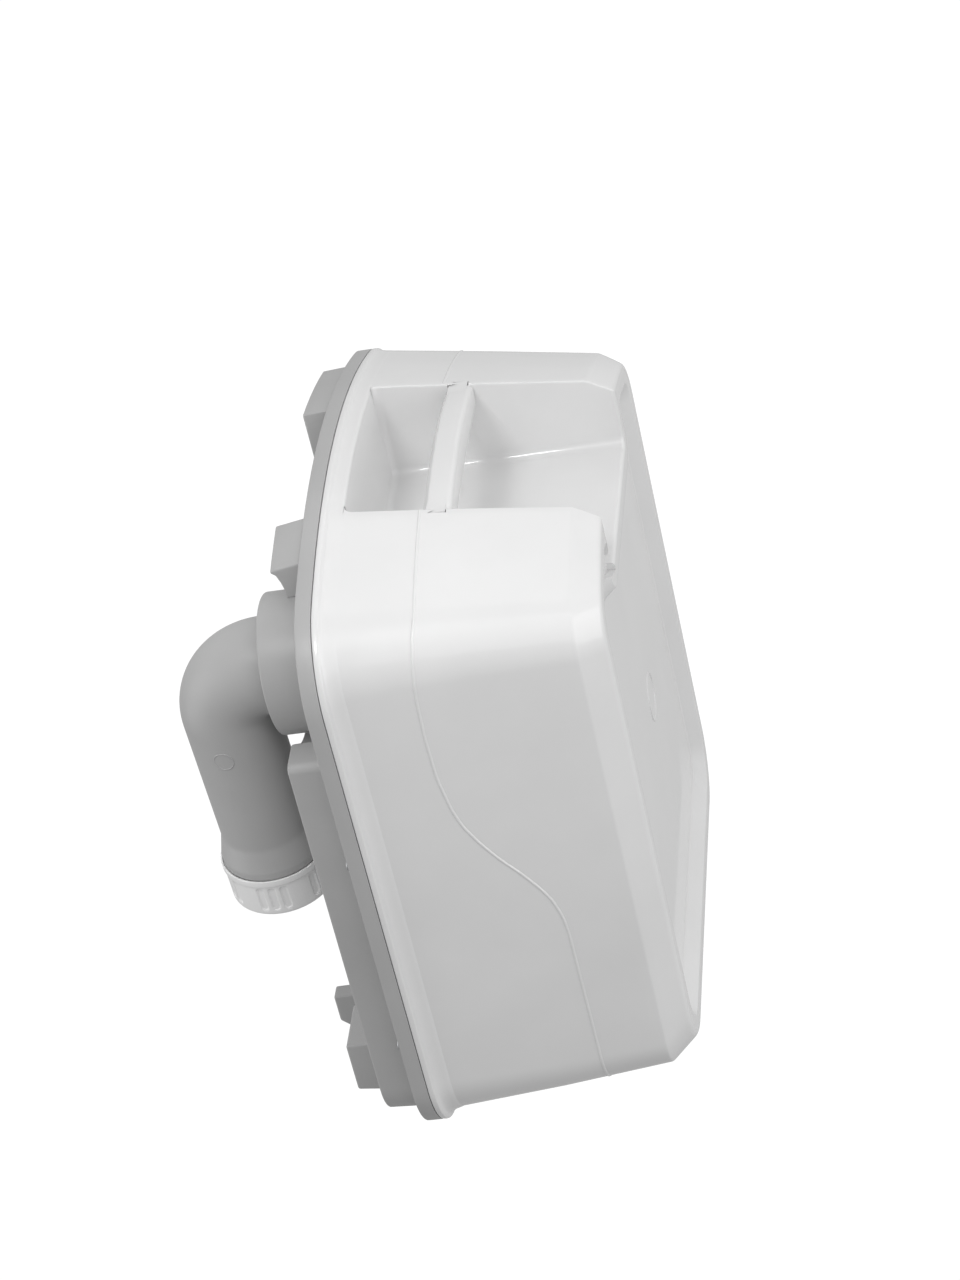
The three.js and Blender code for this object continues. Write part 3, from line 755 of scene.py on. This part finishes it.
def pan_screw(name, x, y, seat, length, head_r, node, turn):
    """A pan-head screw with a cross recess."""
    shank_r, tip = 1.8, seat - length
    profile = [(0.0, tip), (shank_r, tip + 1.0), (shank_r, seat)]
    profile += [(head_r, seat), (head_r, seat + 1.4), (0.0, seat + 2.4)]
    section = rounded(profile, [0, 0.3, 0.2, 0.2, 1.1, 0], 5)
    body = turned(name, section, x, y, None, None, segments=48, wrap=False)
    cutters = []
    for extra in (0.0, math.pi / 2):
        box = block("cross", -0.42, 0.42, rect(-0.55 * head_r, 0.55 * head_r, seat + 0.9, seat + 4))
        box.data.transform(placed(x, y, turn + extra))
        cutters.append(box)
    combine(body, cutters)
    dress(body, "steel", "tank", node)


for i, (x, y) in enumerate(RETAINER_SCREWS):
    pan_screw(f"retainer_screw_head_{i + 1}", x, y, 200.6, 9, 3.4, f"retainer_screw_{i + 1}", 0.4 + i)
DECK_SCREWS = [(-30, -168), (30, -168), (-186.5, -20), (186.5, -20), (-186.5, 120), (186.5, 120)]
for i, (x, y) in enumerate(DECK_SCREWS):
    pan_screw(f"deck_screw_head_{i + 1}", x, y, LEDGE_TOP + 0.3, 14, 4.0, f"deck_screw_{i + 1}", 0.9 * i)


def vent():
    """The air release: a fixed housing and the button in it."""
    housing = [(12, 173.9), (15, 173.9), (15, 184.0), (12, 184.0)]
    section = rounded(housing, [0.2, 0.3, 0.9, 0.6], 4, closed=True)
    turned("vent_housing_ring", section, VENT_X, VENT_Y, "deck_grey", "tank", ("vent_housing",))
    button = [(0, 167.9), (1.9, 167.9), (1.9, 183.8), (9.6, 183.8), (9.6, 180.0)]
    button += [(11.4, 180.0), (11.4, 187.6), (8.0, 188.4), (0, 188.0)]
    section = rounded(button, [0, 0.2, 0.3, 0.4, 0.2, 0.2, 1.6, 2.0, 0], 5)
    turned("vent_button_top", section, VENT_X, VENT_Y, "deck_grey", "vent", ("vent_button",), wrap=False)


vent()


def vent_spring():
    """The coil below the button, with a mesh of its own."""
    turns, steps, radius, wire, low, high = 4, 160, 6.5, 0.5, 174.85, 182.75
    rings = []
    for i in range(steps + 1):
        t = 2 * math.pi * turns * i / steps
        ring = []
        for k in range(12):
            u = 2 * math.pi * k / 12
            r = radius + wire * math.cos(u)
            z = low + (high - low) * i / steps + wire * math.sin(u)
            ring.append((VENT_X + r * math.cos(t), VENT_Y + r * math.sin(t), z))
        rings.append(ring)
    coil = piece("vent_spring_coil", *loft(rings), "steel", "tank", ("vent_spring",))
    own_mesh(coil)


vent_spring()


def indicator_lens():
    """The clear window over the level indicator."""
    window = [(0, 194.8), (11.6, 194.8), (11.6, 197.7), (14.0, 197.7), (14.0, 198.6), (0, 199.0)]
    section = rounded(window, [0, 0.3, 0.2, 0.2, 0.7, 0], 4)
    turned("indicator_lens", section, *WINDOW, "window_clear", "tank", ("indicator_window",), wrap=False)


indicator_lens()


def blade_handle():
    """The grip behind the deck that pulls the blade, with its finger hollow."""
    outer = [(195.5, 177.0), (203.6, 177.0), (203.6, 193.5), (195.5, 193.5)]
    grip = block("blade_grip", -34, 34, outer, 1.4, 4)
    hollow = [(200.2, 182.0), (208, 181.0), (208, 189.5), (200.2, 188.5)]
    combine(grip, [block("finger", -26, 26, rounded(hollow, [1.2, 0, 0, 1.2], 4, closed=True))])
    dress(grip, "deck_grey", "blade", "blade_handle")


blade_handle()

for node, slot_name in SLOT_OF.items():
    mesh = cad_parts[node].data
    mesh.materials.clear()
    mesh.materials.append(MATERIALS[slot_name])

# ---------------------------------------------------------------- floor, light and camera

world = bpy.data.worlds.new("studio")
bpy.context.scene.world = world
world.use_nodes = True
tree = world.node_tree
back = tree.nodes["Background"]
back.inputs["Color"].default_value = (1, 1, 1, 1)
path = tree.nodes.new("ShaderNodeLightPath")
way = tree.nodes.new("ShaderNodeTexCoord")
slope = tree.nodes.new("ShaderNodeVectorMath")
slope.operation = "DOT_PRODUCT"
slope.inputs[1].default_value = (0.12, -0.15, -0.12)
tree.links.new(way.outputs["Generated"], slope.inputs[0])
ambient = tree.nodes.new("ShaderNodeMath")
ambient.operation = "ADD"
ambient.inputs[1].default_value = 0.52
tree.links.new(slope.outputs["Value"], ambient.inputs[0])
strength = tree.nodes.new("ShaderNodeMix")
tree.links.new(path.outputs["Is Camera Ray"], strength.inputs["Factor"])
tree.links.new(ambient.outputs["Value"], strength.inputs["A"])
strength.inputs["B"].default_value = 1.05
tree.links.new(strength.outputs["Result"], back.inputs["Strength"])

CENTRE = Vector((0.0, 0.0, 0.10))


def area(name, direction, distance, size, watts):
    """A square soft light that faces the middle of the object."""
    data = bpy.data.lights.new(name, "AREA")
    data.shape = "SQUARE"
    data.size = size
    data.energy = watts
    light = bpy.data.objects.new(name, data)
    bpy.context.scene.collection.objects.link(light)
    way = Vector(direction).normalized()
    light.location = CENTRE + way * distance
    light.rotation_mode = "QUATERNION"
    light.rotation_quaternion = (-way).to_track_quat("-Z", "Y")


area("key", (-0.55, -0.82, 0.18), 1.1, 0.20, 2.1)
area("front_fill", (0.35, -1.0, 0.05), 1.7, 0.9, 1.0)
area("side_fill", (-0.8, -0.8, -0.5), 0.85, 0.7, 1.0)
area("base_fill", (-0.35, -0.3, -1.0), 1.8, 1.2, 5.5)
area("top_fill", (-0.3, 0.0, 1.0), 1.8, 1.4, 7.5)

floor_mesh = bpy.data.meshes.new("floor")
reach = 25.0
corners = [(-reach, -reach, 0), (reach, -reach, 0), (reach, reach, 0), (-reach, reach, 0)]
floor_mesh.from_pydata(corners, [], [(0, 1, 2, 3)])
floor = bpy.data.objects.new("floor", floor_mesh)
bpy.context.scene.collection.objects.link(floor)
# The floor shows its top only, so the camera below it looks through it.
floor_mat = bpy.data.materials.new("floor")
floor_mat.use_nodes = True
tree = floor_mat.node_tree
shader = tree.nodes["Principled BSDF"]
shader.inputs["Base Color"].default_value = (0.86, 0.86, 0.86, 1)
shader.inputs["Roughness"].default_value = 0.9
clear = tree.nodes.new("ShaderNodeBsdfTransparent")
facing = tree.nodes.new("ShaderNodeNewGeometry")
blend = tree.nodes.new("ShaderNodeMixShader")
tree.links.new(facing.outputs["Backfacing"], blend.inputs["Fac"])
tree.links.new(shader.outputs["BSDF"], blend.inputs[1])
tree.links.new(clear.outputs["BSDF"], blend.inputs[2])
tree.links.new(blend.outputs["Shader"], tree.nodes["Material Output"].inputs["Surface"])
floor_mesh.materials.append(floor_mat)
floor.visible_shadow = False
floor.visible_diffuse = False
floor.visible_glossy = False
floor.visible_transmission = False

camera_data = bpy.data.cameras.new("camera")
camera_data.lens = 93.608
camera_data.sensor_width = 36.0
camera_data.clip_start = 0.05
camera = bpy.data.objects.new("camera", camera_data)
bpy.context.scene.collection.objects.link(camera)
# The axes of the camera in the row frame and its place in metres: the tank is seen tipped, from below.
right = (0.08229469, 0.20383189, -0.97554095)
up = (0.55179837, -0.82444809, -0.12571357)
backward = (-0.82990731, -0.52795635, -0.1803218)
place = (-1.74322, -1.15468, -0.27367)
camera.matrix_world = Matrix([(right[i], up[i], backward[i], place[i]) for i in range(3)] + [(0, 0, 0, 1)])
bpy.context.scene.camera = camera
bpy.context.scene.view_settings.view_transform = "Standard"
